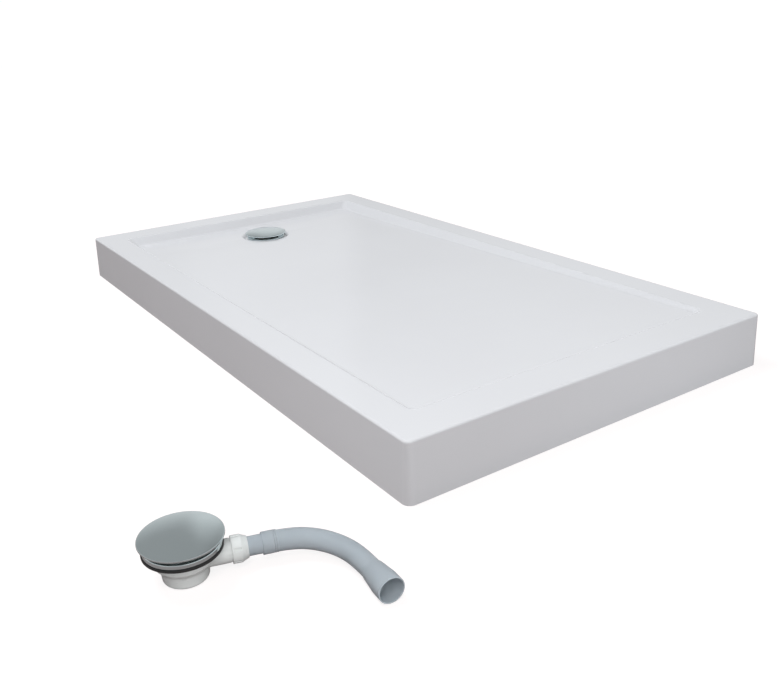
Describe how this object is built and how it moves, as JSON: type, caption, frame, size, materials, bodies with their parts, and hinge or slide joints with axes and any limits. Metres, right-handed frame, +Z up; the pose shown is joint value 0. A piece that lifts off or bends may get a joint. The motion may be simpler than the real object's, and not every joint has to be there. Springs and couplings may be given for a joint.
{
  "type": "shower tray",
  "caption": "Rectangular shower tray with a full skirt, a shallow basin and levelling feet, its waste fitted, and a loose waste kit with hose beside it.",
  "frame": {"origin": "on the floor, under the middle of the tray", "axes": "+X across the tray, +Y along it towards the drain, +Z up"},
  "size_m": [1.303, 1.7717, 0.112],
  "materials": {
    "acrylic": "high gloss",
    "laminate": "glass-fibre laminate, rough",
    "bedding_resin": "cast, rough",
    "board": "sealed particle board",
    "bracket_plastic": "moulded, fine grain",
    "zinc_steel": "zinc plated",
    "foot_plastic": "moulded",
    "chrome": "polished",
    "screw_steel": "stainless",
    "stem_plastic": "moulded",
    "seal_rubber": "satin",
    "trap_plastic": "moulded, satin",
    "hose_plastic": "smooth, satin"
  },
  "bodies": {
    "tray": {"acrylic_shell": "acrylic", "fibreglass_laminate": "laminate", "resin_bedding": "bedding_resin", "base_board": "board", "foot_bracket_1": "bracket_plastic", "foot_bracket_2": "bracket_plastic", "foot_bracket_3": "bracket_plastic", "foot_bracket_4": "bracket_plastic", "foot_bracket_5": "bracket_plastic", "foot_bracket_6": "bracket_plastic", "foot_bracket_7": "bracket_plastic", "foot_bracket_8": "bracket_plastic", "bracket_screws": "zinc_steel", "lock_nuts": "zinc_steel", "drain_flange": "chrome", "drain_flange_washer": "seal_rubber", "drain_clamp_screws": "screw_steel", "drain_trap_gasket": "seal_rubber", "drain_trap_body": "trap_plastic", "drain_outlet_washer": "seal_rubber", "drain_outlet_nut": "trap_plastic", "drain_outlet_spigot": "hose_plastic"},
    "foot_1": {"foot_stud_1": "zinc_steel", "foot_pad_1": "foot_plastic"},
    "foot_2": {"foot_stud_2": "zinc_steel", "foot_pad_2": "foot_plastic"},
    "foot_3": {"foot_stud_3": "zinc_steel", "foot_pad_3": "foot_plastic"},
    "foot_4": {"foot_stud_4": "zinc_steel", "foot_pad_4": "foot_plastic"},
    "foot_5": {"foot_stud_5": "zinc_steel", "foot_pad_5": "foot_plastic"},
    "foot_6": {"foot_stud_6": "zinc_steel", "foot_pad_6": "foot_plastic"},
    "foot_7": {"foot_stud_7": "zinc_steel", "foot_pad_7": "foot_plastic"},
    "foot_8": {"foot_stud_8": "zinc_steel", "foot_pad_8": "foot_plastic"},
    "drain_insert": {"drain_trap_insert": "stem_plastic", "drain_insert_ring": "seal_rubber"},
    "drain_lid": {"drain_cover": "chrome", "drain_cover_stem": "stem_plastic"},
    "loose_trap": {"loose_flange": "chrome", "loose_flange_washer": "seal_rubber", "loose_clamp_screws": "screw_steel", "loose_trap_gasket": "seal_rubber", "loose_trap_body": "trap_plastic", "loose_outlet_washer": "seal_rubber", "loose_outlet_nut": "trap_plastic", "loose_outlet_spigot": "hose_plastic", "loose_hose": "hose_plastic", "loose_hose_cuff": "hose_plastic", "loose_hose_end_cuff": "hose_plastic"},
    "loose_insert": {"loose_trap_insert": "stem_plastic", "loose_insert_ring": "seal_rubber"},
    "loose_lid": {"loose_cover": "chrome", "loose_cover_stem": "stem_plastic"}
  },
  "joints": [
    {"name": "foot_1_height", "type": "slide", "parent": "tray", "child": "foot_1", "axis": [0, 0, -1], "range_m": [0, 0.02]},
    {"name": "foot_2_height", "type": "slide", "parent": "tray", "child": "foot_2", "axis": [0, 0, -1], "range_m": [0, 0.02]},
    {"name": "foot_3_height", "type": "slide", "parent": "tray", "child": "foot_3", "axis": [0, 0, -1], "range_m": [0, 0.02]},
    {"name": "foot_4_height", "type": "slide", "parent": "tray", "child": "foot_4", "axis": [0, 0, -1], "range_m": [0, 0.02]},
    {"name": "foot_5_height", "type": "slide", "parent": "tray", "child": "foot_5", "axis": [0, 0, -1], "range_m": [0, 0.02]},
    {"name": "foot_6_height", "type": "slide", "parent": "tray", "child": "foot_6", "axis": [0, 0, -1], "range_m": [0, 0.02]},
    {"name": "foot_7_height", "type": "slide", "parent": "tray", "child": "foot_7", "axis": [0, 0, -1], "range_m": [0, 0.02]},
    {"name": "foot_8_height", "type": "slide", "parent": "tray", "child": "foot_8", "axis": [0, 0, -1], "range_m": [0, 0.02]},
    {"name": "drain_insert_lift", "type": "slide", "parent": "tray", "child": "drain_insert", "axis": [0, 0, 1], "range_m": [0, 0.1]},
    {"name": "drain_lid_lift", "type": "slide", "parent": "drain_insert", "child": "drain_lid", "axis": [0, 0, 1], "range_m": [0, 0.05]},
    {"name": "loose_trap_lift", "type": "slide", "parent": "tray", "child": "loose_trap", "axis": [0, 0, 1], "range_m": [0, 0.2]},
    {"name": "loose_insert_lift", "type": "slide", "parent": "loose_trap", "child": "loose_insert", "axis": [0, 0, 1], "range_m": [0, 0.06]},
    {"name": "loose_lid_lift", "type": "slide", "parent": "loose_insert", "child": "loose_lid", "axis": [0, 0, 1], "range_m": [0, 0.03]}
  ]
}
